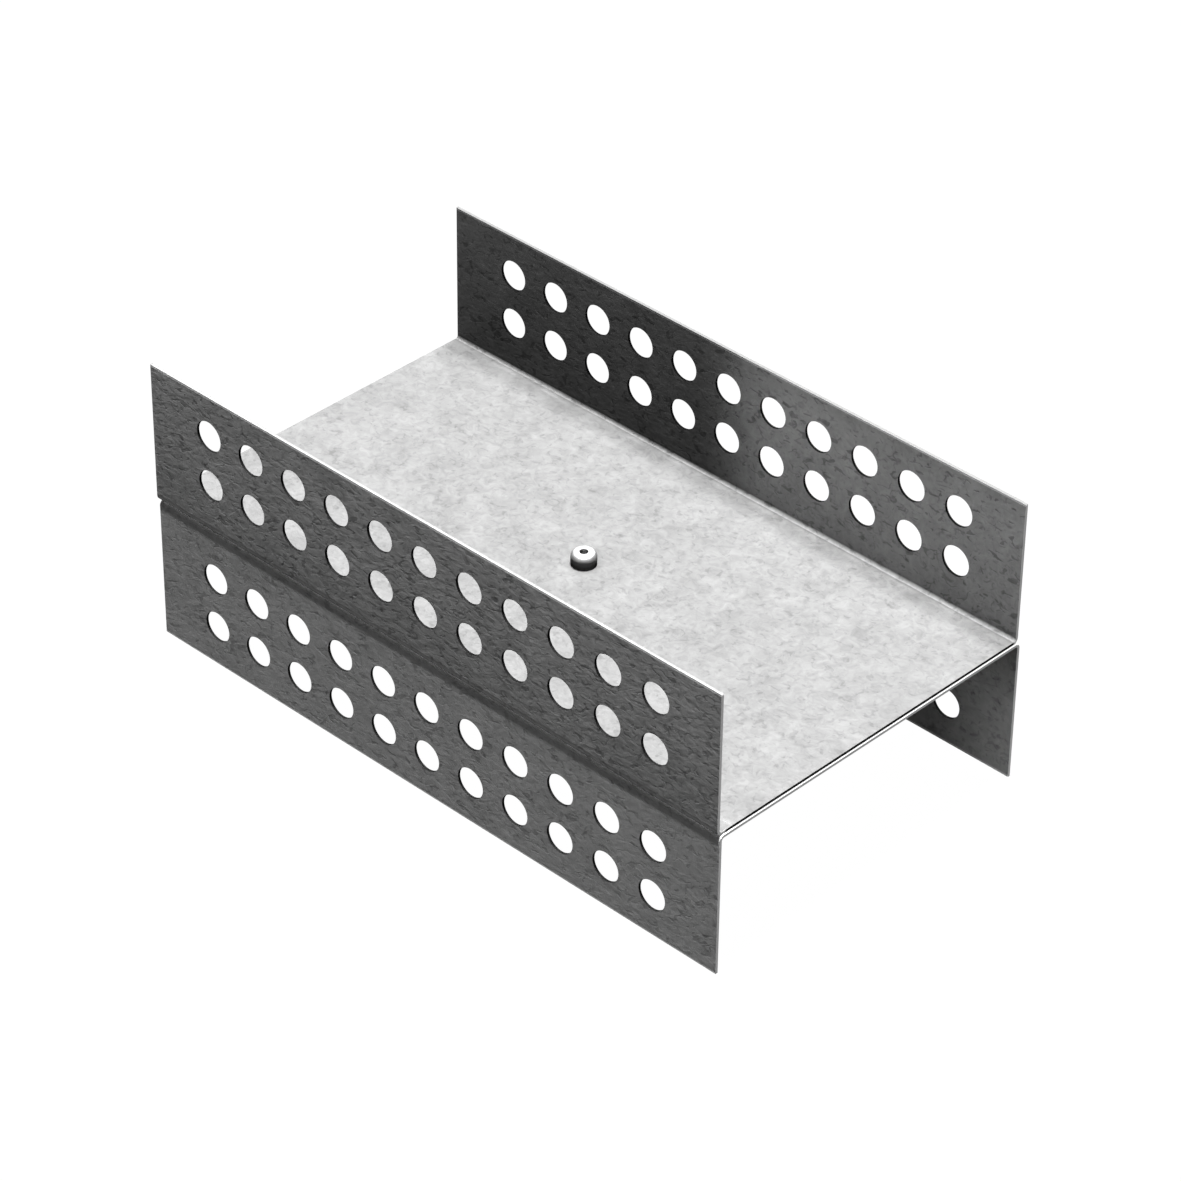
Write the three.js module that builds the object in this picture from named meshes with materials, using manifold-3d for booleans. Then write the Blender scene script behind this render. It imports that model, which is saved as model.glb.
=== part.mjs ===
// Back-to-back perforated channel connector: two folded sheet-steel U-channels
// set web to web and held by one hollow blind rivet through the middle of both
// webs, so that the upper channel swivels on the lower one.
//
// Millimetres, +Z up. X runs along the channels, Y across them. The origin is
// the middle of the bounding box on the plane the lower flange edges stand on.

import * as THREE from "three";
import * as BufferGeometryUtils from "three/addons/utils/BufferGeometryUtils.js";
import Module from "manifold-3d";

// ---------------------------------------------------------------- dimensions
const LENGTH = 250.0;          // each channel, along X
const WIDTH = 138.4;           // over the outsides of the two flanges
const FLANGE = 52.9;           // outer face of the web to the flange edge
const SHEET = 1.0;             // sheet thickness
const BEND_INNER = 1.0;        // inside radius of the folds
const BEND_STEPS = 4;          // facets in each fold

const HOLE_D = 11.0;           // punched holes in the flanges
const HOLE_PITCH = 19.67;      // along the flange
const HOLE_COUNT = 11;         // in each row
const ROW_FROM_EDGE = [15.2, 34.2]; // hole centres from the flange edge
const END_SHORT = 26.2;        // short end margin to the first hole centre
const HOLE_SIDES = 24;

const WEB_GAP = 0.05;          // running clearance between the two webs
const OFFSET_X = 0.27;         // the lower channel stands this far towards +X,
const OFFSET_Y = 0.25;         // and +Y, and the upper one as far the other way

const RIVET_X = -0.65;         // rivet axis
const RIVET_Y = 2.3;
const RIVET_HOLE_D = 5.0;      // hole in each web
const RIVET_SIDES = 32;
const SHANK_D = 4.8;
const BORE_D = 2.7;            // hollow through the rivet body
const HEAD_D = 8.7;
const HEAD_H = 4.75;
const HEAD_SHOULDER = 1.6;     // radius rolled over the top of the head
const HEAD_PLAY = 0.05;        // head to web, and tail to web
const TAIL_D = 7.4;            // set tail under the lower web
const TAIL_H = 4.9;
const MANDREL_D = 2.6;         // broken-off pulling stem left in the body
const MANDREL_HEAD_D = 4.1;
const MANDREL_RECESS = 2.3;    // break face below the top of the head

// ------------------------------------------------------------------- heights
const LOWER_WEB_TOP = FLANGE;
const LOWER_WEB_BOTTOM = LOWER_WEB_TOP - SHEET;
const UPPER_WEB_BOTTOM = LOWER_WEB_TOP + WEB_GAP;
const UPPER_WEB_TOP = UPPER_WEB_BOTTOM + SHEET;
const TOP = UPPER_WEB_BOTTOM + FLANGE;

const HEAD_BASE = UPPER_WEB_TOP + HEAD_PLAY;
const HEAD_TOP = HEAD_BASE + HEAD_H;
const TAIL_TOP = LOWER_WEB_BOTTOM - HEAD_PLAY;
const TAIL_BOTTOM = TAIL_TOP - TAIL_H;

// ------------------------------------------------------------------- solids
const wasm = await Module();
wasm.setup();

function toSolid(geometry) {
  const g = geometry.index ? geometry.toNonIndexed() : geometry.clone();
  for (const name of Object.keys(g.attributes)) {
    if (name !== "position") g.deleteAttribute(name);
  }
  const m = BufferGeometryUtils.mergeVertices(g, 1e-5);
  return new wasm.Manifold(new wasm.Mesh({
    numProp: 3,
    vertProperties: Float32Array.from(m.attributes.position.array),
    triVerts: Uint32Array.from(m.index.array),
  }));
}

function toGeometry(solid) {
  const m = solid.getMesh();
  const g = new THREE.BufferGeometry();
  g.setAttribute("position", new THREE.BufferAttribute(Float32Array.from(m.vertProperties), 3));
  g.setIndex(new THREE.BufferAttribute(Uint32Array.from(m.triVerts), 1));
  const flat = g.toNonIndexed();
  flat.computeVertexNormals();
  return flat;
}

// The U-section with its web's outer face on v = 0 and its flanges rising to
// v = FLANGE, drawn with u across the channel.
function channelSection() {
  const half = WIDTH / 2;
  const ro = BEND_INNER + SHEET;
  const ri = BEND_INNER;
  const pts = [];
  const arc = (cu, cv, r, from, to) => {
    for (let i = 0; i <= BEND_STEPS; i++) {
      const a = from + ((to - from) * i) / BEND_STEPS;
      pts.push(new THREE.Vector2(cu + r * Math.cos(a), cv + r * Math.sin(a)));
    }
  };
  // outside, from the left flange edge down, across the web and up again
  pts.push(new THREE.Vector2(-half, FLANGE));
  arc(-half + ro, ro, ro, Math.PI, 1.5 * Math.PI);
  arc(half - ro, ro, ro, 1.5 * Math.PI, 2 * Math.PI);
  pts.push(new THREE.Vector2(half, FLANGE));
  // inside, back again
  pts.push(new THREE.Vector2(half - SHEET, FLANGE));
  arc(half - ro, ro, ri, 2 * Math.PI, 1.5 * Math.PI);
  arc(-half + ro, ro, ri, 1.5 * Math.PI, Math.PI);
  pts.push(new THREE.Vector2(-half + SHEET, FLANGE));
  return new THREE.Shape(pts);
}

// A channel opening upwards, centred on X = Y = 0, with its web's outer face
// on Z = 0. firstHole is the margin from the -X end to the first hole centre.
function channelSolid(firstHole, rivetX, rivetY) {
  const blank = new THREE.ExtrudeGeometry(channelSection(), {
    depth: LENGTH, steps: 1, bevelEnabled: false,
  });
  // section (u, v) and depth w become Y, Z and X
  blank.applyMatrix4(new THREE.Matrix4().set(
    0, 0, 1, -LENGTH / 2,
    1, 0, 0, 0,
    0, 1, 0, 0,
    0, 0, 0, 1,
  ));
  let solid = toSolid(blank);
  // one punch goes through both flanges
  for (let k = 0; k < HOLE_COUNT; k++) {
    for (const fromEdge of ROW_FROM_EDGE) {
      const punch = new THREE.CylinderGeometry(
        HOLE_D / 2, HOLE_D / 2, WIDTH + 10, HOLE_SIDES, 1,
      );
      punch.translate(-LENGTH / 2 + firstHole + k * HOLE_PITCH, 0, FLANGE - fromEdge);
      solid = solid.subtract(toSolid(punch));
    }
  }
  const drill = new THREE.CylinderGeometry(
    RIVET_HOLE_D / 2, RIVET_HOLE_D / 2, 6 * SHEET, RIVET_SIDES, 1,
  );
  drill.rotateX(Math.PI / 2);
  drill.translate(rivetX, rivetY, SHEET / 2);
  return solid.subtract(toSolid(drill));
}

// A ring turned about the rivet axis from a closed outline of [radius, height].
function turned(outline) {
  const pts = outline.map(([r, z]) => new THREE.Vector2(r, z));
  const g = new THREE.LatheGeometry(pts, RIVET_SIDES);
  g.rotateX(Math.PI / 2);      // the lathe's Y axis becomes Z
  return toGeometry(toSolid(g));
}

function arcPoints(cr, cz, r, from, to, steps) {
  const out = [];
  for (let i = 0; i <= steps; i++) {
    const a = from + ((to - from) * i) / steps;
    out.push([cr + r * Math.cos(a), cz + r * Math.sin(a)]);
  }
  return out;
}

// ---------------------------------------------------------------- materials
const galvanised = new THREE.MeshStandardMaterial({
  name: "galvanised_sheet", color: 0xb4b6b7, roughness: 0.5, metalness: 0.85,
});
const galvanisedLower = galvanised.clone();
const rivetAlloy = new THREE.MeshStandardMaterial({
  name: "rivet_alloy", color: 0xc9cbcc, roughness: 0.35, metalness: 0.9,
});
const mandrelSteel = new THREE.MeshStandardMaterial({
  name: "mandrel_steel", color: 0x5d5f61, roughness: 0.55, metalness: 0.9,
});

// ---------------------------------------------------------------- the object
const connector = new THREE.Group();

const lowerAssembly = new THREE.Group();   // stands still
const upperAssembly = new THREE.Group();   // swivels about the rivet
connector.add(lowerAssembly, upperAssembly);

// Upper channel, open upwards. Its long end margin is at -X.
const END_LONG = LENGTH - END_SHORT - HOLE_PITCH * (HOLE_COUNT - 1);
const upperGeometry = toGeometry(
  channelSolid(END_LONG, RIVET_X + OFFSET_X, RIVET_Y + OFFSET_Y),
);
const upperChannel = new THREE.Mesh(upperGeometry, galvanised);
upperChannel.name = "upper_channel";
upperChannel.position.set(-OFFSET_X, -OFFSET_Y, UPPER_WEB_BOTTOM);
upperAssembly.add(upperChannel);

// Lower channel, the same pressing turned over end for end, open downwards.
const turnedOver = channelSolid(END_LONG, -(RIVET_X - OFFSET_X), RIVET_Y - OFFSET_Y);
const lowerGeometry = toGeometry(turnedOver);
lowerGeometry.applyMatrix4(new THREE.Matrix4().makeRotationY(Math.PI));
const lowerChannel = new THREE.Mesh(lowerGeometry, galvanisedLower);
lowerChannel.name = "lower_channel";
lowerChannel.position.set(OFFSET_X, OFFSET_Y, LOWER_WEB_TOP);
lowerAssembly.add(lowerChannel);

// Rivet body: tall round-shouldered head, hollow shank through both webs, and
// the tail that the pulled mandrel has swollen under the lower web.
const headR = HEAD_D / 2;
const boreR = BORE_D / 2;
const shankR = SHANK_D / 2;
const tailR = TAIL_D / 2;
const SEAT_TOP = TAIL_BOTTOM + 2.2;        // where the bore opens for the mandrel's head
const seatR = MANDREL_HEAD_D / 2 + 0.05;
const rivetBody = new THREE.Mesh(turned([
  [boreR, HEAD_TOP - 0.25],
  [boreR, SEAT_TOP],
  [seatR, SEAT_TOP - 0.8],
  [seatR, TAIL_BOTTOM],
  [tailR - 1.15, TAIL_BOTTOM],
  [tailR - 0.45, TAIL_BOTTOM + 0.55],
  [tailR - 0.08, TAIL_BOTTOM + 1.6],
  [tailR, TAIL_BOTTOM + 2.7],
  [tailR - 0.15, TAIL_TOP - 0.7],
  [tailR - 0.6, TAIL_TOP],
  [shankR, TAIL_TOP],
  [shankR, HEAD_BASE],
  [headR - 0.1, HEAD_BASE],
  [headR, HEAD_BASE + 0.15],
  ...arcPoints(headR - HEAD_SHOULDER, HEAD_TOP - HEAD_SHOULDER, HEAD_SHOULDER, 0, Math.PI / 2, 6),
  [boreR + 0.25, HEAD_TOP],
  [boreR, HEAD_TOP - 0.25],
]), rivetAlloy);
rivetBody.name = "rivet_body";
rivetBody.position.set(RIVET_X, RIVET_Y, 0);
lowerAssembly.add(rivetBody);

// Mandrel stub: necked break face inside the head, stem, and the head that
// swells the tail.
const stemR = MANDREL_D / 2;
const mandrelHeadR = MANDREL_HEAD_D / 2;
const BREAK_Z = HEAD_TOP - MANDREL_RECESS;
const rivetMandrel = new THREE.Mesh(turned([
  [0, TAIL_BOTTOM - 0.9],
  [mandrelHeadR - 0.9, TAIL_BOTTOM - 0.8],
  [mandrelHeadR - 0.25, TAIL_BOTTOM - 0.35],
  [mandrelHeadR, TAIL_BOTTOM + 0.3],
  [mandrelHeadR, SEAT_TOP - 0.9],
  [stemR, SEAT_TOP - 0.1],
  [stemR, BREAK_Z - 0.6],
  [stemR - 0.35, BREAK_Z - 0.1],
  [stemR - 0.55, BREAK_Z],
  [0, BREAK_Z + 0.08],
]), mandrelSteel);
rivetMandrel.name = "rivet_mandrel";
rivetMandrel.position.set(RIVET_X, RIVET_Y, 0);
lowerAssembly.add(rivetMandrel);

export default connector;
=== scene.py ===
import math

import bpy
import numpy as np
from mathutils import Matrix, Vector


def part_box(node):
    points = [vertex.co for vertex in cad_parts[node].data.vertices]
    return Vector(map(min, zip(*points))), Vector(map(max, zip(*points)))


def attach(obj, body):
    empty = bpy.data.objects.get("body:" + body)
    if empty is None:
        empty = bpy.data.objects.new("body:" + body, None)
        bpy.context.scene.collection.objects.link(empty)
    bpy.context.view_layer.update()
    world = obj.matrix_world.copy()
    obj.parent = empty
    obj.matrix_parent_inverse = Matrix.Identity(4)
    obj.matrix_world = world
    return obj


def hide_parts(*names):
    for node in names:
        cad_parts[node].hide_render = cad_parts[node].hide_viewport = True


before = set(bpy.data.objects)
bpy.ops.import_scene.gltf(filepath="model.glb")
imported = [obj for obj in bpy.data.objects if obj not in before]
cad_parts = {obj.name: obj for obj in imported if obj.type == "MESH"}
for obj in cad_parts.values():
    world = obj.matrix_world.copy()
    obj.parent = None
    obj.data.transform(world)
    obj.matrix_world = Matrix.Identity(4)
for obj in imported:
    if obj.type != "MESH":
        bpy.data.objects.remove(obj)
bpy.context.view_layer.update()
MM = 0.001

# ------------------------------------------------------------------ dimensions (mm)
LENGTH = 250.0
WIDTH = 138.4
FLANGE = 52.9
SHEET = 1.0
R_IN = 1.0
HOLE_R = 5.5
PITCH = 19.67
COUNT = 11
ROWS = (15.2, 34.2)
END_LONG = 250.0 - 26.2 - PITCH * (COUNT - 1)
RIVET_HOLE_R = 2.5
EDGE_R = 0.06          # rounding of the sheared edges
HOLE_EDGE_R = 0.12     # rounding of the punched holes
STRIP = 0.72           # painted highlight: bright band along each long edge

T = SHEET
R_MID = R_IN + T / 2
FLAT = FLANGE - (R_IN + T)               # straight part of a flange
BEND = R_MID * math.pi / 2
WEB = WIDTH - 2 * (R_IN + T)
U1 = FLAT                                # developed widths, flange edge to flange edge
U2 = U1 + BEND
U3 = U2 + WEB
U4 = U3 + BEND
U5 = U4 + FLAT


def fold(u, h):
    """Section point (y, z) and normal of the inner side, at developed width u and height h off the middle of the sheet.
    """
    cy = WIDTH / 2 - (R_IN + T)
    cz = R_IN + T
    y, z = np.empty_like(u), np.empty_like(u)
    ny, nz = np.empty_like(u), np.empty_like(u)
    a = u <= U1
    y[a], z[a] = -WIDTH / 2 + T / 2 + h[a], FLANGE - u[a]
    ny[a], nz[a] = 1, 0
    b = (u > U1) & (u < U2)
    p = (u[b] - U1) / R_MID
    r = R_MID - h[b]
    y[b], z[b] = -cy - r * np.cos(p), cz - r * np.sin(p)
    ny[b], nz[b] = np.cos(p), np.sin(p)
    c = (u >= U2) & (u <= U3)
    y[c], z[c] = -cy + (u[c] - U2), T / 2 + h[c]
    ny[c], nz[c] = 0, 1
    d = (u > U3) & (u < U4)
    p = (u[d] - U3) / R_MID
    r = R_MID - h[d]
    y[d], z[d] = cy + r * np.sin(p), cz - r * np.cos(p)
    ny[d], nz[d] = -np.sin(p), np.cos(p)
    e = u >= U4
    y[e], z[e] = WIDTH / 2 - T / 2 - h[e], cz + (u[e] - U4)
    ny[e], nz[e] = -1, 0
    return y, z, ny, nz


def spread(a, b, n):
    return [a + (b - a) * i / n for i in range(n)]


def flat_pattern(rivet_x, rivet_u):
    """The unfolded sheet: points (x, u), quads, and its border loops with the direction each border point is rounded towards."""
    e = EDGE_R
    first = -LENGTH / 2 + END_LONG
    x_cells = [first + (k - 0.5) * PITCH for k in range(COUNT + 1)]
    xs = [-LENGTH / 2 + e, -LENGTH / 2 + 0.6] + spread(-LENGTH / 2 + 1.2, x_cells[0], 8)
    for k in range(COUNT):
        xs += spread(x_cells[k], x_cells[k + 1], 12)
    xs += spread(x_cells[-1], LENGTH / 2 - 1.2, 8) + [LENGTH / 2 - 1.2, LENGTH / 2 - 0.6, LENGTH / 2 - e]
    mid01 = (ROWS[0] + ROWS[1]) / 2
    c0, c2 = 2 * ROWS[0] - mid01, 2 * ROWS[1] - mid01
    side = [e, 0.6] + spread(1.2, c0, 3) + spread(c0, mid01, 12) + spread(mid01, c2, 12) + spread(c2, U1, 4)
    us = side + spread(U1, U2, 16) + spread(U2, U3, 56) + spread(U3, U4, 16) + [U4] + [U5 - v for v in side[::-1]][1:]
    us = sorted(set(round(v, 6) for v in us + [U5 - v for v in side]))
    xs = sorted(set(round(v, 6) for v in xs))
    xs, us = np.array(xs), np.array(us)
    nx, nu = len(xs), len(us)
    pts = [(xs[i], us[j]) for j in range(nu) for i in range(nx)]
    at = lambda i, j: j * nx + i
    near = lambda arr, v: int(np.argmin(np.abs(arr - v)))
    blocks = []
    for k in range(COUNT):
        i0, i1 = near(xs, x_cells[k]), near(xs, x_cells[k + 1])
        for lo, hi, c in ((c0, mid01, ROWS[0]), (mid01, c2, ROWS[1])):
            blocks.append((i0, i1, near(us, lo), near(us, hi), first + k * PITCH, c, HOLE_R, HOLE_EDGE_R))
            blocks.append((i0, i1, near(us, U5 - hi), near(us, U5 - lo), first + k * PITCH, U5 - c, HOLE_R, HOLE_EDGE_R))
    ri, rj = near(xs, rivet_x), near(us, rivet_u)
    blocks.append((ri - 4, ri + 4, rj - 3, rj + 3, rivet_x, rivet_u, RIVET_HOLE_R, HOLE_EDGE_R))
    skip = np.zeros((nx, nu), bool)
    for i0, i1, j0, j1, *_ in blocks:
        skip[i0:i1, j0:j1] = True
    quads = [
        (at(i, j), at(i + 1, j), at(i + 1, j + 1), at(i, j + 1))
        for j in range(nu - 1)
        for i in range(nx - 1)
        if not skip[i, j]
    ]
    loops = []
    for i0, i1, j0, j1, cx, cu, r, er in blocks:
        ring = (
            [at(i, j0) for i in range(i0, i1)]
            + [at(i1, j) for j in range(j0, j1)]
            + [at(i, j1) for i in range(i1, i0, -1)]
            + [at(i0, j) for j in range(j1, j0, -1)]
        )
        b = np.array([pts[v] for v in ring]) - (cx, cu)
        ang = np.arctan2(b[:, 1], b[:, 0])
        dirs = np.c_[np.cos(ang), np.sin(ang)]
        inner = dirs * (r + er)
        prev = ring
        for f in (0.74, 0.52, 0.34, 0.2, 0.09, 0.0):
            q = inner + (b - inner) * f
            base = len(pts)
            pts += [(cx + v[0], cu + v[1]) for v in q]
            cur = list(range(base, base + len(ring)))
            n = len(ring)
            quads += [(prev[m], prev[(m + 1) % n], cur[(m + 1) % n], cur[m]) for m in range(n)]
            prev = cur
        loops.append((prev[::-1], -dirs[::-1], er, "hole"))
    n_i, n_j = nx - 1, nu - 1
    outer = (
        [at(i, 0) for i in range(0, n_i)]
        + [at(n_i, j) for j in range(0, n_j)]
        + [at(i, n_j) for i in range(n_i, 0, -1)]
        + [at(0, j) for j in range(n_j, 0, -1)]
    )
    od = []
    for v in outer:
        i, j = v % nx, v // nx
        od.append(((i == n_i) * 1.0 - (i == 0) * 1.0, (j == n_j) * 1.0 - (j == 0) * 1.0))
    loops.append((outer, np.array(od), EDGE_R, "rim"))
    used = sorted({v for q in quads for v in q})
    renum = {v: k for k, v in enumerate(used)}
    pts = np.array([pts[v] for v in used])
    quads = np.array([[renum[v] for v in q] for q in quads])
    loops = [([renum[v] for v in ids], d, er, kind) for ids, d, er, kind in loops]
    return pts, quads, loops


def channel_mesh(name, rivet_x, rivet_y, place, web_end_highlight_sign):
    """place: 4x4 matrix, mm, from the channel's own frame (web's outer face on z = 0, opening up) to the row frame."""
    pts, quads, loops = flat_pattern(rivet_x, U2 + rivet_y + WEB / 2)
    X, U, H, N2, PH, CUT = [], [], [], [], [], []
    n = len(pts)
    faces = []
    for sgn in (1, -1):                    # inner side, outer side
        X.append(pts[:, 0]); U.append(pts[:, 1]); H.append(np.full(n, sgn * T / 2))
        N2.append(np.zeros((n, 2))); PH.append(np.full(n, float(sgn))); CUT.append(np.zeros(n))
    faces += [tuple(q) for q in quads.tolist()]
    faces += [tuple(n + v for v in q[::-1]) for q in quads.tolist()]
    base = 2 * n
    steps = [(a, 1) for a in (30, 60, 90)] + [(a, -1) for a in (90, 60, 30)]
    for ids, d, er, kind in loops:
        m = len(ids)
        rows = [list(ids)]
        p = pts[ids]
        for a, s in steps:
            t = math.radians(a)
            q = p + d * er * math.sin(t)
            X.append(q[:, 0]); U.append(q[:, 1])
            H.append(np.full(m, s * (T / 2 - er * (1 - math.cos(t)))))
            dn = d / np.maximum(np.linalg.norm(d, axis=1, keepdims=True), 1e-9)
            N2.append(dn * math.sin(t)); PH.append(np.full(m, s * math.cos(t)))
            CUT.append(np.full(m, math.sin(t) if kind == "rim" else -math.sin(t)))
            rows.append(list(range(base, base + m)))
            base += m
        rows.append([n + v for v in ids])
        for r0, r1 in zip(rows, rows[1:]):
            faces += [(r0[(k + 1) % m], r0[k], r1[k], r1[(k + 1) % m]) for k in range(m)]
    X, U, H = map(np.concatenate, (X, U, H))
    N2, PH, CUT = map(np.concatenate, (N2, PH, CUT))
    uc = np.clip(U, 0, U5)
    y, z, ny, nz = fold(uc, H)
    # direction of rising u in the section plane is the normal turned a quarter turn
    uy, uz = nz, -ny
    V = np.c_[X, y, z]
    NV = np.c_[N2[:, 0], PH * ny + N2[:, 1] * uy, PH * nz + N2[:, 1] * uz]
    NV /= np.maximum(np.linalg.norm(NV, axis=1, keepdims=True), 1e-9)
    M = np.array(place)
    V = (V @ M[:3, :3].T + M[:3, 3]) * MM
    NV = NV @ M[:3, :3].T
    me = bpy.data.meshes.new(name)
    me.from_pydata(V.tolist(), [], faces)
    me.validate(verbose=False)
    me.update()
    at = me.attributes.new("sheet", "FLOAT_VECTOR", "POINT")
    tip = np.minimum(uc, U5 - uc)
    bend = np.minimum(np.abs(uc - (U1 + U2) / 2), np.abs(uc - (U3 + U4) / 2))
    at.data.foreach_set("vector", (np.c_[tip, bend, H] * MM).astype(np.float32).ravel())
    web = (uc > U2) & (uc < U3)
    # painted shade: a negative sign here gives the web's cut ends the dark hole-wall colour; +1 keeps the painted edge
    # highlight
    cut = CUT * np.where(web & (np.abs(X) > LENGTH / 2 - 1), web_end_highlight_sign, 1.0)
    ac = me.attributes.new("cut", "FLOAT", "POINT")
    ac.data.foreach_set("value", cut.astype(np.float32))
    me.polygons.foreach_set("use_smooth", [True] * len(me.polygons))
    me.normals_split_custom_set_from_vertices(NV.tolist())
    ob = bpy.data.objects.new(name, me)
    bpy.context.scene.collection.objects.link(ob)
    return ob


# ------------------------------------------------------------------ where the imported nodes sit
def centre(node):
    lo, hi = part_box(node)
    return (lo + hi) / 2, lo, hi


rb_lo, rb_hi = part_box("rivet_body")
AX, AY = (rb_lo.x + rb_hi.x) / 2 / MM, (rb_lo.y + rb_hi.y) / 2 / MM     # rivet axis, mm

uc_, uc_lo, uc_hi = centre("upper_channel")
lc_, lc_lo, lc_hi = centre("lower_channel")
ux, uy, uz = uc_.x / MM, uc_.y / MM, uc_lo.z / MM
lx, ly, lz = lc_.x / MM, lc_.y / MM, lc_hi.z / MM


# ------------------------------------------------------------------ node helpers
def new_material(name):
    m = bpy.data.materials.new(name)
    m.use_nodes = True
    nt = m.node_tree
    bsdf = next(n for n in nt.nodes if n.type == "BSDF_PRINCIPLED")
    return m, nt, bsdf


class Nodes:
    def __init__(self, tree):
        self.t = tree

    def new(self, kind, **props):
        n = self.t.nodes.new(kind)
        for k, v in props.items():
            setattr(n, k, v)
        return n

    def link(self, a, b):
        self.t.links.new(a, b)

    def math(self, op, a, b=None, c=None, clamp=False):
        n = self.new("ShaderNodeMath", operation=op, use_clamp=clamp)
        for i, v in enumerate((a, b, c)):
            if v is None:
                continue
            if isinstance(v, (int, float)):
                n.inputs[i].default_value = v
            else:
                self.link(v, n.inputs[i])
        return n.outputs[0]

    def ramp(self, v, lo, hi, a=0.0, b=1.0, smooth=True, label=""):
        n = self.new("ShaderNodeMapRange", label=label)
        n.interpolation_type = "SMOOTHSTEP" if smooth else "LINEAR"
        self.link(v, n.inputs["Value"])
        n.inputs["From Min"].default_value = lo
        n.inputs["From Max"].default_value = hi
        n.inputs["To Min"].default_value = a
        n.inputs["To Max"].default_value = b
        return n.outputs["Result"]

    def noise(self, vec, scale, detail=2.0, rough=0.5, distortion=0.0, kind="FBM"):
        n = self.new("ShaderNodeTexNoise", noise_dimensions="3D", noise_type=kind)
        n.inputs["Scale"].default_value = scale
        n.inputs["Detail"].default_value = detail
        n.inputs["Roughness"].default_value = rough
        n.inputs["Distortion"].default_value = distortion
        self.link(vec, n.inputs["Vector"])
        return n.outputs["Fac"]

    def mix(self, fac, a, b, blend="MIX"):
        n = self.new("ShaderNodeMix", data_type="RGBA", blend_type=blend)
        for sock, v in (("Factor", fac), (6, a), (7, b)):
            s = n.inputs[sock] if isinstance(sock, int) else n.inputs[0]
            if isinstance(v, (int, float)):
                s.default_value = v
            elif isinstance(v, tuple):
                s.default_value = v
            else:
                self.link(v, s)
        return n.outputs[2]


def grey(v, tint=0.0):
    return (v * (1 - tint), v, v * (1 + tint), 1.0)


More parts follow.
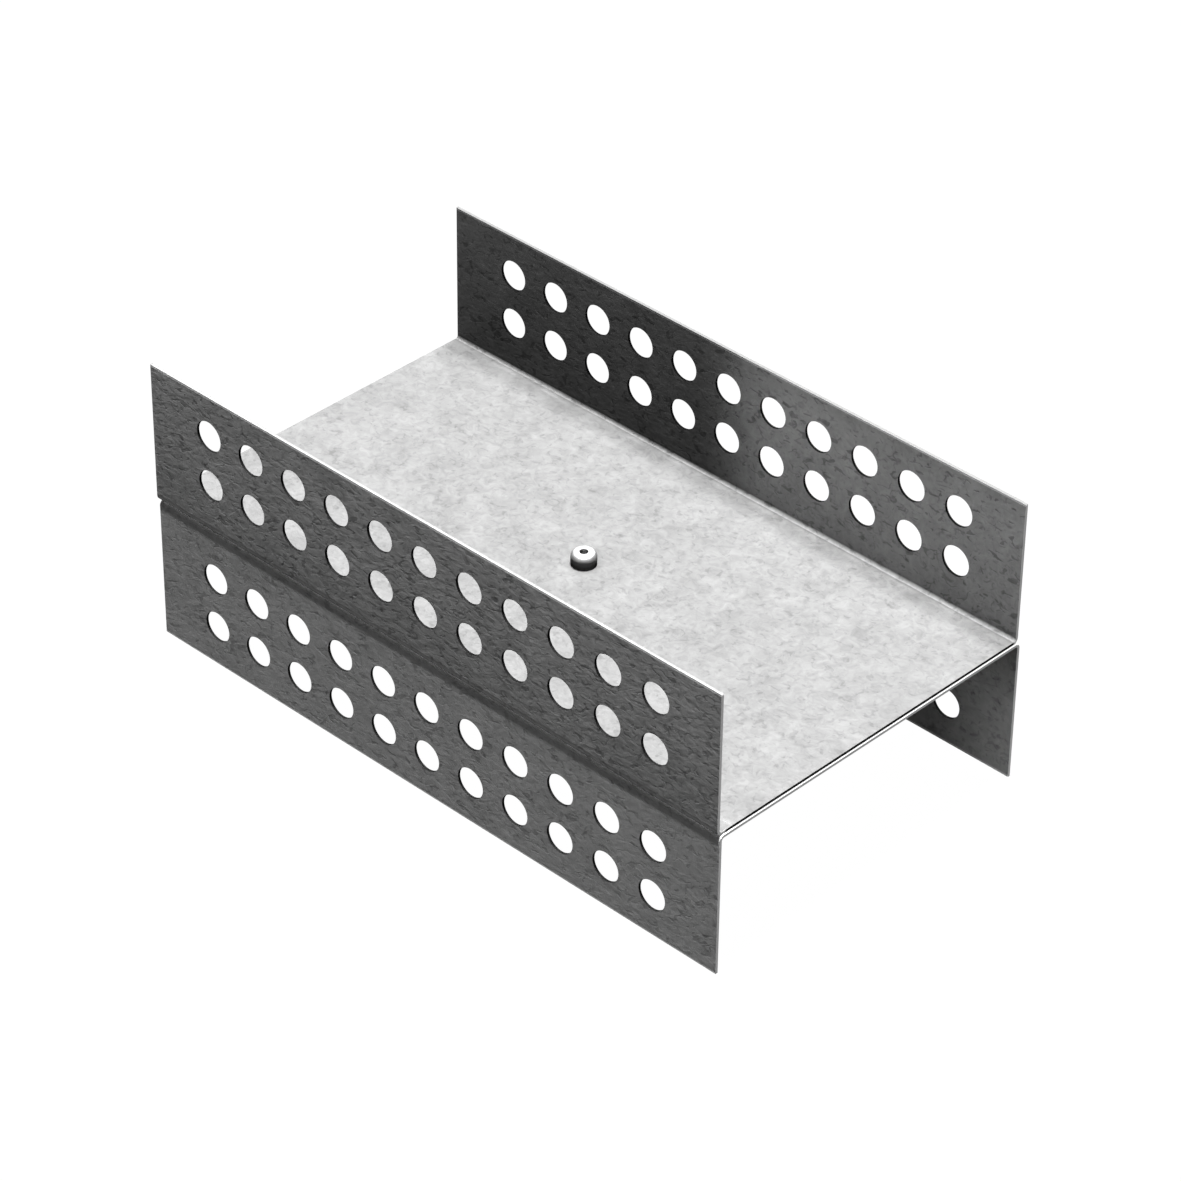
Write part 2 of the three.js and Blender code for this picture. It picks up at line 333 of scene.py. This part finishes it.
def galvanised(name, seed, base, fold, seam_highlight_gain, at_tip, at_bend, ledge_highlight, skin):
    """Hot-dip galvanised sheet: soft frosty mottle, fine creased skin, painted highlights on the edges and bends,
    painted shade in the dents, cut walls and round the rivet.
    """
    m, nt, bsdf = new_material(name)
    g = Nodes(nt)
    tex = g.new("ShaderNodeTexCoord")
    shift = g.new("ShaderNodeVectorMath", operation="ADD")
    g.link(tex.outputs["Object"], shift.inputs[0])
    shift.inputs[1].default_value = (0.31 * seed, 0.17 * seed, 0.23 * seed)
    vec = shift.outputs[0]
    sheet = g.new("ShaderNodeAttribute", attribute_name="sheet")
    sep = g.new("ShaderNodeSeparateXYZ")
    g.link(sheet.outputs["Vector"], sep.inputs[0])
    tip, bend = sep.outputs[0], sep.outputs[1]
    cut = g.new("ShaderNodeAttribute", attribute_name="cut").outputs["Fac"]

    on_web = g.ramp(tip, (FLAT + 0.6) * MM, (FLAT + BEND + 0.6) * MM, 0.0, 1.0)
    on_leg = g.math("SUBTRACT", 1.0, on_web)

    # tone: broad clouds, zinc blotches, fine frost
    clouds = g.noise(vec, 75.0, 2.0, 0.5, 0.3)
    blotch = g.noise(vec, 250.0, 3.0, 0.60, 1.2)
    frost = g.noise(vec, 950.0, 2.0, 0.6, 0.4)
    tone = g.math("MULTIPLY_ADD", clouds, 0.30, -0.15)
    tone = g.math("ADD", tone, g.math("MULTIPLY_ADD", blotch, 0.68, -0.33))
    tone = g.math("ADD", tone, g.math("MULTIPLY_ADD", frost, 0.10, -0.05))

    # short broken dents in the zinc skin
    turn = g.new("ShaderNodeVectorRotate", rotation_type="Y_AXIS")
    g.link(vec, turn.inputs["Vector"])
    turn.inputs["Angle"].default_value = 0.14
    drawn = g.new("ShaderNodeVectorMath", operation="MULTIPLY")
    g.link(turn.outputs[0], drawn.inputs[0])
    drawn.inputs[1].default_value = (0.66, 1.0, 1.05)
    line = g.math("ABSOLUTE", g.math("SUBTRACT", g.noise(drawn.outputs[0], 200.0, 1.5, 0.5, 0.4), 0.5))
    line = g.ramp(line, 0.0, 0.040, 1.0, 0.0)
    gate = g.ramp(g.noise(vec, 300.0, 1.0, 0.5, 0.3), 0.50, 0.60, 0.0, 0.8)
    stroke = g.ramp(g.noise(drawn.outputs[0], 400.0, 1.5, 0.5, 0.7), 0.33, 0.41, 1.0, 0.0)
    crease = g.math("MAXIMUM", g.math("MULTIPLY", line, gate), stroke)
    # painted shade: the dents are darkened in colour, more on the legs than on the web
    tone = g.math("SUBTRACT", tone, g.math("MULTIPLY", crease, g.math("MULTIPLY_ADD", on_leg, 0.30 * skin, 0.09)))
    spots = g.ramp(g.noise(vec, 420.0, 1.0, 0.5, 0.8), 0.60, 0.70, 0.0, 0.16)
    tone = g.math("SUBTRACT", tone, spots)

    body = g.math("MULTIPLY", g.math("ADD", tone, 1.0), base)
    # painted shade and light: the legs' tone ramps from free edge to fold, standing in for how light falls across the
    # flanges; the web keeps the base tone
    leg = g.ramp(tip, 0.0, FLAT * MM, at_tip, at_bend, False)
    leg_light_ramp = g.math("ADD", g.math("MULTIPLY", leg, on_leg), on_web)
    body = g.math("MULTIPLY", body, leg_light_ramp)
    # painted highlight: the inside of the fold, and a band on its outside, are lightened where the bend catches light
    fold_inside_highlight = g.ramp(sep.outputs[2], -0.0002, 0.0002, 0.0, fold - 1.0)
    body = g.math("MULTIPLY", body, g.math("MULTIPLY_ADD", g.ramp(bend, 0.00105, 0.00145, 1.0, 0.0), fold_inside_highlight, 1.0))
    fold_outside_highlight = g.ramp(sep.outputs[2], -0.0002, 0.0002, (fold - 1.0) * 0.8, 0.0)
    body = g.math("MULTIPLY", body, g.math("MULTIPLY_ADD", g.ramp(bend, 0.0012, 0.0022, 1.0, 0.0), fold_outside_highlight, 1.0))
    # painted highlight: a light band on the bend along the seam where the two channels meet
    seam_highlight_band = g.math("MULTIPLY", g.ramp(tip, (FLAT + 0.9) * MM, (FLAT + 1.7) * MM), g.ramp(tip, (FLAT + BEND) * MM, (FLAT + BEND + 0.4) * MM, 1.0, 0.0))
    body = g.math("MULTIPLY", body, g.math("MULTIPLY_ADD", seam_highlight_band, seam_highlight_gain, 1.0))
    # painted shade: a faint darker ring on the web round the rivet
    flat = g.new("ShaderNodeVectorMath", operation="MULTIPLY_ADD")
    g.link(tex.outputs["Object"], flat.inputs[0])
    flat.inputs[1].default_value = (1, 1, 0)
    flat.inputs[2].default_value = (-AX * MM, -AY * MM, 0)
    span = g.new("ShaderNodeVectorMath", operation="LENGTH")
    g.link(flat.outputs[0], span.inputs[0])
    rivet_ring_shade = g.math("MULTIPLY", g.ramp(span.outputs["Value"], 0.0042, 0.0072, 0.16, 0.0), on_web)
    body = g.math("MULTIPLY", body, g.math("SUBTRACT", 1.0, rivet_ring_shade))
    # painted highlight: a bright strip along the long edges, on the rounded rims and cut faces, and on the lower web's
    # end ledge
    strip = g.ramp(tip, STRIP * MM - 0.00012, STRIP * MM + 0.00012, 1.0, 0.0)
    if ledge_highlight:
        ends = g.new("ShaderNodeSeparateXYZ")
        g.link(tex.outputs["Object"], ends.inputs[0])
        reach = (LENGTH / 2 + 0.27 - 0.7) * MM
        lip = g.math("MULTIPLY", g.ramp(ends.outputs[0], reach, reach + 0.0001, 0.0, ledge_highlight), on_web)
        strip = g.math("MAXIMUM", strip, lip)
    shine = g.math("MAXIMUM", strip, cut, clamp=True)
    # painted shade: the hole walls and the upper web's cut ends are darkened almost to black
    cut_wall_shade = g.ramp(cut, -0.55, -0.05, 1.0, 0.0)
    edge_highlight_mottle = g.math("MULTIPLY_ADD", frost, 0.10, 0.95)
    end = g.ramp(cut, 0.4, 0.8, EDGE_HIGHLIGHT_TONE, CUT_FACE)
    body = g.math("MULTIPLY", body, g.math("MULTIPLY_ADD", cut_wall_shade, -CUT_WALL_SHADE, 1.0))
    value = g.mix(shine, g_col(g, body), g_col(g, g.math("MULTIPLY", edge_highlight_mottle, end)))
    g.link(value, bsdf.inputs["Base Color"])
    g.link(g.math("MULTIPLY_ADD", cut_wall_shade, -0.45, 0.5), bsdf.inputs["Specular IOR Level"])
    rough = g.math("MULTIPLY_ADD", clouds, 0.18, 0.50)
    rough = g.math("ADD", rough, g.math("MULTIPLY_ADD", frost, 0.12, -0.06))
    rough = g.math("SUBTRACT", rough, g.math("MULTIPLY", shine, 0.12), clamp=True)
    g.link(rough, bsdf.inputs["Roughness"])
    bsdf.inputs["Metallic"].default_value = METALLIC

    height = g.math("MULTIPLY", g.noise(drawn.outputs[0], 380.0, 2.0, 0.5, 0.6), SKIN)
    height = g.math("SUBTRACT", height, g.math("MULTIPLY", crease, DENT))
    height = g.math("MULTIPLY", height, g.math("MULTIPLY_ADD", on_leg, skin - 0.28, 0.28))
    height = g.math("MULTIPLY", height, g.math("MULTIPLY_ADD", shine, -0.85, 1.0))
    height = g.math("MULTIPLY", height, g.ramp(bend, 0.0011, 0.0020, 0.03, 1.0))
    bump = g.new("ShaderNodeBump")
    bump.inputs["Strength"].default_value = 1.0
    bump.inputs["Distance"].default_value = BUMP
    g.link(height, bump.inputs["Height"])
    g.link(bump.outputs["Normal"], bsdf.inputs["Normal"])
    return m


def g_col(g, v):
    n = g.new("ShaderNodeCombineColor")
    g.link(v, n.inputs[0])
    g.link(v, n.inputs[1])
    g.link(v, n.inputs[2])
    return n.outputs[0]


METALLIC = 0.35
BUMP = 0.00018
SKIN = 1.0
DENT = 0.24
EDGE_HIGHLIGHT_TONE = 0.80
CUT_FACE = 0.42
BASE = 0.36
CUT_WALL_SHADE = 0.95

# ------------------------------------------------------------------ channels
place_up = Matrix.Translation((ux, uy, uz))
place_down = Matrix.Translation((lx, ly, lz)) @ Matrix.Rotation(math.pi, 4, "Y")
upper = channel_mesh("upper_channel_sheet", AX - ux, AY - uy, place_up, -1.0)
lower = channel_mesh("lower_channel_sheet", -(AX - lx), AY - ly, place_down, 1.0)
upper.data.materials.append(galvanised("galvanised_upper", 1, BASE, 1.7, 0.0, 1.13, 0.75, 0.0, 1.0))
lower.data.materials.append(galvanised("galvanised_lower", 2, BASE, 1.0, 2.0, 1.09, 1.12, 1.0, 0.62))
for ob, body, node in ((upper, "upper", "upper_channel"), (lower, "lower", "lower_channel")):
    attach(ob, body)
    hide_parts(node)


# ------------------------------------------------------------------ rivet
def lathe(name, outline, cx, cy, seg=112):
    """outline: (radius, height) in mm, closed loop unless it starts and ends on the axis."""
    on_axis = outline[0][0] == 0 and outline[-1][0] == 0
    verts, faces = [], []
    rows = []
    for r, z in outline:
        if r == 0:
            rows.append([len(verts)])
            verts.append((cx * MM, cy * MM, z * MM))
        else:
            rows.append(list(range(len(verts), len(verts) + seg)))
            verts += [
                ((cx + r * math.cos(2 * math.pi * k / seg)) * MM, (cy + r * math.sin(2 * math.pi * k / seg)) * MM, z * MM)
                for k in range(seg)
            ]
    pairs = list(zip(rows, rows[1:]))
    if not on_axis:
        pairs.append((rows[-1], rows[0]))
    for a, b in pairs:
        for k in range(seg):
            k2 = (k + 1) % seg
            if len(a) == 1:
                faces.append((a[0], b[k], b[k2]))
            elif len(b) == 1:
                faces.append((a[k2], a[k], b[0]))
            else:
                faces.append((a[k2], a[k], b[k], b[k2]))
    me = bpy.data.meshes.new(name)
    me.from_pydata(verts, [], faces)
    me.update()
    me.polygons.foreach_set("use_smooth", [True] * len(me.polygons))
    ob = bpy.data.objects.new(name, me)
    bpy.context.scene.collection.objects.link(ob)
    return ob


def arc(cr, cz, r, a0, a1, n):
    return [
        (cr + r * math.cos(math.radians(a0 + (a1 - a0) * i / n)), cz + r * math.sin(math.radians(a0 + (a1 - a0) * i / n)))
        for i in range(n + 1)
    ]


def sharpen(ob, angle=40):
    """Keeps turned corners crisp: edges steeper than angle shade as edges."""
    me = ob.data
    me.set_sharp_from_angle(angle=math.radians(angle))


head_top = rb_hi.z / MM
tail_bottom = rb_lo.z / MM
head_r = (rb_hi.x - rb_lo.x) / 2 / MM
web_top = uz + T
web_bottom = lz - T
head_base = web_top + 0.05
tail_top = web_bottom - 0.05
bore = 1.35
shank = 2.4
DOME_R, DOME_H = 1.35, 1.95
tail_r = 3.7
seat_top = tail_bottom + 2.2
seat_r = 2.1
body_outline = (
    [(bore, head_top - 0.07), (bore, head_top - 0.13), (bore, (head_top + seat_top) / 2), (bore, seat_top)]
    + [(seat_r, seat_top - 0.8), (seat_r, tail_bottom + 0.12), (seat_r + 0.12, tail_bottom)]
    + [(tail_r - 1.2, tail_bottom)]
    + [(tail_r - 0.78, tail_bottom + 0.14), (tail_r - 0.45, tail_bottom + 0.55), (tail_r - 0.2, tail_bottom + 1.1)]
    + [(tail_r - 0.06, tail_bottom + 1.75), (tail_r, tail_bottom + 2.6), (tail_r - 0.03, tail_bottom + 3.3)]
    + [(tail_r - 0.16, tail_top - 0.75), (tail_r - 0.38, tail_top - 0.3), (tail_r - 0.7, tail_top)]
    + [(shank, tail_top), (shank, head_base)]
    + [(head_r - 0.22, head_base), (head_r - 0.07, head_base + 0.06), (head_r, head_base + 0.2)]
    + [(head_r, head_base + 1.6)]
    + [
        (head_r - DOME_R * (1 - math.cos(math.radians(t))), head_top - DOME_H * (1 - math.sin(math.radians(t))))
        for t in (0, 5, 10, 16, 22, 29, 36, 44, 52, 60, 68, 76, 83, 90)
    ]
    + [(bore + 0.08, head_top)]
    + arc(bore + 0.07, head_top - 0.07, 0.07, 100, 170, 4)
)
rivet = lathe("rivet_body_turned", body_outline, AX, AY)
sharpen(rivet)

break_z = head_top - 2.3
mand_r, mhead = 1.3, 2.05
mandrel_outline = (
    [(0, tail_bottom - 0.9), (0.7, tail_bottom - 0.87), (1.2, tail_bottom - 0.78), (1.62, tail_bottom - 0.52)]
    + [(1.9, tail_bottom - 0.15), (mhead, tail_bottom + 0.35), (mhead, seat_top - 0.9)]
    + [(mand_r, seat_top - 0.1), (mand_r, break_z - 0.6), (mand_r - 0.2, break_z - 0.3)]
    + [(mand_r - 0.42, break_z - 0.05), (mand_r - 0.6, break_z + 0.02), (0.4, break_z - 0.1), (0, break_z + 0.05)]
)
mandrel = lathe("rivet_mandrel_stub", mandrel_outline, AX, AY, 72)
sharpen(mandrel)


def turned_metal(name, base, rough, ring, bump_mm, metallic, shaded_mouth_r):
    """Turned and upset metal: fine rings round the axis, faint handling marks."""
    m, nt, bsdf = new_material(name)
    g = Nodes(nt)
    tex = g.new("ShaderNodeTexCoord")
    off = g.new("ShaderNodeVectorMath", operation="SUBTRACT")
    g.link(tex.outputs["Object"], off.inputs[0])
    off.inputs[1].default_value = (AX * MM, AY * MM, 0)
    sep = g.new("ShaderNodeSeparateXYZ")
    g.link(off.outputs[0], sep.inputs[0])
    rad = g.math("SQRT", g.math("ADD", g.math("POWER", sep.outputs[0], 2.0), g.math("POWER", sep.outputs[1], 2.0)))
    rings = g.new("ShaderNodeCombineXYZ")
    g.link(rad, rings.inputs[0])
    g.link(sep.outputs[2], rings.inputs[1])
    fine = g.noise(rings.outputs[0], ring, 2.0, 0.6, 0.0)
    marks = g.noise(off.outputs[0], 900.0, 3.0, 0.6, 0.6)
    val = g.math("MULTIPLY", g.math("ADD", g.math("MULTIPLY_ADD", marks, 0.08, -0.04), 1.0), base)
    val = g.math("ADD", val, g.math("MULTIPLY_ADD", fine, 0.05, -0.025), clamp=True)
    if shaded_mouth_r:
        # painted shade: a dark ring at the mouth of the bore
        ring_in = g.ramp(rad, (shaded_mouth_r + 0.01) * MM, (shaded_mouth_r + 0.05) * MM)
        ring_out = g.ramp(rad, (shaded_mouth_r + 0.11) * MM, (shaded_mouth_r + 0.17) * MM, 1.0, 0.0)
        val = g.math("MULTIPLY", val, g.math("MULTIPLY_ADD", g.math("MULTIPLY", ring_in, ring_out), -0.94, 1.0))
    g.link(g_col(g, val), bsdf.inputs["Base Color"])
    r = g.math("ADD", g.math("MULTIPLY_ADD", marks, 0.16, rough - 0.08), g.math("MULTIPLY_ADD", fine, 0.08, -0.04), clamp=True)
    g.link(r, bsdf.inputs["Roughness"])
    bsdf.inputs["Metallic"].default_value = metallic
    h = g.math("ADD", g.math("MULTIPLY", fine, 0.4), g.math("MULTIPLY", marks, 0.6))
    bump = g.new("ShaderNodeBump")
    bump.inputs["Strength"].default_value = 1.0
    bump.inputs["Distance"].default_value = bump_mm * MM
    g.link(h, bump.inputs["Height"])
    g.link(bump.outputs["Normal"], bsdf.inputs["Normal"])
    return m


rivet.data.materials.append(turned_metal("rivet_alloy_turned", 0.92, 0.60, 2600.0, 0.003, 1.0, bore))
mandrel.data.materials.append(turned_metal("mandrel_steel_broken", 0.34, 0.5, 1800.0, 0.03, 0.5, 0.0))
for ob, node, slot in ((rivet, "rivet_body", "rivet_alloy"), (mandrel, "rivet_mandrel", "mandrel_steel")):
    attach(ob, "lower")
    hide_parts(node)

# ------------------------------------------------------------------ camera
cam_data = bpy.data.cameras.new("camera")
cam = bpy.data.objects.new("camera", cam_data)
bpy.context.scene.collection.objects.link(cam)
bpy.context.scene.camera = cam
cam_data.sensor_width = 36.0
cam_data.lens = 4730.0 * 36.0 / 1181.0
cam_data.clip_start, cam_data.clip_end = 0.05, 60.0
fwd = Vector((-0.56308555, 0.58622613, -0.58247196)).normalized()
right = Vector((0.71667172, 0.69735224, 0.00902811)).normalized()
up = right.cross(fwd).normalized()
right = fwd.cross(up).normalized()
rot = Matrix((right, up, -fwd)).transposed().to_4x4()
cam.matrix_world = Matrix.Translation((0.85849847, -0.88890768, 0.93044139)) @ rot

# ------------------------------------------------------------------ stage
def emission_mat(name, strength, diffuse):
    m = bpy.data.materials.new(name)
    m.use_nodes = True
    nt = m.node_tree
    nt.nodes.clear()
    out = nt.nodes.new("ShaderNodeOutputMaterial")
    em = nt.nodes.new("ShaderNodeEmission")
    em.inputs["Color"].default_value = (1, 1, 1, 1)
    em.inputs["Strength"].default_value = strength
    if diffuse:
        df = nt.nodes.new("ShaderNodeBsdfDiffuse")
        df.inputs["Color"].default_value = (diffuse, diffuse, diffuse, 1)
        add = nt.nodes.new("ShaderNodeAddShader")
        nt.links.new(em.outputs[0], add.inputs[0])
        nt.links.new(df.outputs[0], add.inputs[1])
        nt.links.new(add.outputs[0], out.inputs["Surface"])
    else:
        nt.links.new(em.outputs[0], out.inputs["Surface"])
    return m


def camera_only(ob):
    ob.visible_diffuse = False
    ob.visible_glossy = False
    ob.visible_transmission = False
    ob.visible_volume_scatter = False
    ob.visible_shadow = False


def disc(name, radius, z, n=96):
    me = bpy.data.meshes.new(name)
    vs = [(radius * math.cos(2 * math.pi * k / n), radius * math.sin(2 * math.pi * k / n), z) for k in range(n)]
    me.from_pydata(vs, [], [tuple(range(n))])
    me.update()
    ob = bpy.data.objects.new(name, me)
    bpy.context.scene.collection.objects.link(ob)
    return ob


floor = disc("floor", 9.0, -0.0002)
floor.data.materials.append(emission_mat("pale_floor", 1.0, 0.01))
camera_only(floor)

wall_me = bpy.data.meshes.new("backdrop")
nv, rings_ = 64, 16
vs, fs = [], []
for j in range(rings_ + 1):
    a = math.radians(-20 + 110 * j / rings_)
    for k in range(nv):
        b = 2 * math.pi * k / nv
        vs.append((8.5 * math.cos(a) * math.cos(b), 8.5 * math.cos(a) * math.sin(b), 8.5 * math.sin(a)))
for j in range(rings_):
    for k in range(nv):
        k2 = (k + 1) % nv
        fs.append((j * nv + k, (j + 1) * nv + k, (j + 1) * nv + k2, j * nv + k2))
wall_me.from_pydata(vs, [], fs)
wall_me.update()
wall = bpy.data.objects.new("backdrop", wall_me)
bpy.context.scene.collection.objects.link(wall)
wall.data.materials.append(emission_mat("pale_backdrop", 1.0, 0))
camera_only(wall)

# ------------------------------------------------------------------ light
scene = bpy.context.scene
scene.view_settings.view_transform = "Standard"
scene.view_settings.look = "None"
scene.view_settings.exposure = 0.0
scene.view_settings.gamma = 1.0
scene.cycles.max_bounces = 0
scene.cycles.diffuse_bounces = 0
scene.cycles.glossy_bounces = 0

# suns: (direction the light comes from, angular size in degrees, strength)
SUNS = {
    "top": ((0.0, 0.0, 1.0), 6.0, 4.75),
    "top_back": ((0.0, 0.151, 0.988), 7.0, 2.1),
    "right": ((1.0, 0.03, -0.12), 2.5, 1.9),
    "front_fill": ((0.0, -0.90, 0.44), 12.0, 0.31),
    "back_fill": ((-0.35, 0.90, 0.10), 20.0, 0.55),
    "side_fill": ((0.85, -0.30, 0.42), 20.0, 0.12),
}
# gridded soft boxes: (aim point, direction the light comes from, distance, width, height, spread in degrees, watts), metres
BOXES = {
    "front_strip": ((0.035, -0.0785, 0.106), (0.0, -0.0885, 0.9961), 0.20, 0.36, 0.019, 2.0, 0.0538),
    "back_beam": ((0.106, 0.068, 0.080), (0.0, -0.90, 0.44), 0.50, 0.200, 0.056, 5.0, 0.0175),
    "low_beam": ((0.124, 0.068, 0.012), (0.2, -0.95, -0.25), 0.50, 0.030, 0.050, 5.0, 0.0010),
    "rivet_spot": ((AX * MM, AY * MM, head_top * MM), (0.563, -0.586, 0.582), 0.05, 0.0022, 0.0022, 2.0, 0.000005),
}
WORLD = {"nadir": 0.18, "low": 0.0, "horizon": 0.07}
for name, (d, size, power) in SUNS.items():
    ld = bpy.data.lights.new(name, "SUN")
    ld.angle = math.radians(size)
    ld.energy = power
    lo = bpy.data.objects.new(name, ld)
    bpy.context.scene.collection.objects.link(lo)
    lo.rotation_mode = "QUATERNION"
    lo.rotation_quaternion = Vector(d).to_track_quat("Z", "Y")
    lo.location = Vector(d).normalized() * 3
for name, (aim, d, dist, w, h, spread, power) in BOXES.items():
    ld = bpy.data.lights.new(name, "AREA")
    ld.shape = "RECTANGLE"
    ld.size, ld.size_y = w, h
    ld.spread = math.radians(spread)
    ld.energy = power
    lo = bpy.data.objects.new(name, ld)
    bpy.context.scene.collection.objects.link(lo)
    z = Vector(d).normalized()
    x = Vector((1, 0, 0))
    y = z.cross(x).normalized()
    x = y.cross(z)
    lo.matrix_world = Matrix.Translation(Vector(aim) + z * dist) @ Matrix((x, y, z)).transposed().to_4x4()
    lo.visible_camera = False

world = bpy.data.worlds.new("studio")
scene.world = world
world.use_nodes = True
wt = world.node_tree
wg = Nodes(wt)
bg = next(n for n in wt.nodes if n.type == "BACKGROUND")
wtex = wg.new("ShaderNodeTexCoord")
wsep = wg.new("ShaderNodeSeparateXYZ")
wg.link(wtex.outputs["Generated"], wsep.inputs[0])
low = wg.ramp(wsep.outputs[2], -0.12, 0.05, WORLD["low"], 0.0, label="low")
rise = wg.ramp(wsep.outputs[2], -0.12, 0.05, 0.0, WORLD["horizon"], label="horizon")
fade = wg.ramp(wsep.outputs[2], 0.25, 0.70, 1.0, 0.0)
nadir = wg.ramp(wsep.outputs[2], -0.75, -0.35, WORLD["nadir"], 0.0, label="nadir")
sky = wg.math("ADD", wg.math("MULTIPLY_ADD", rise, fade, low), nadir)
wg.link(sky, bg.inputs["Strength"])
bg.inputs["Color"].default_value = (1, 1, 1, 1)
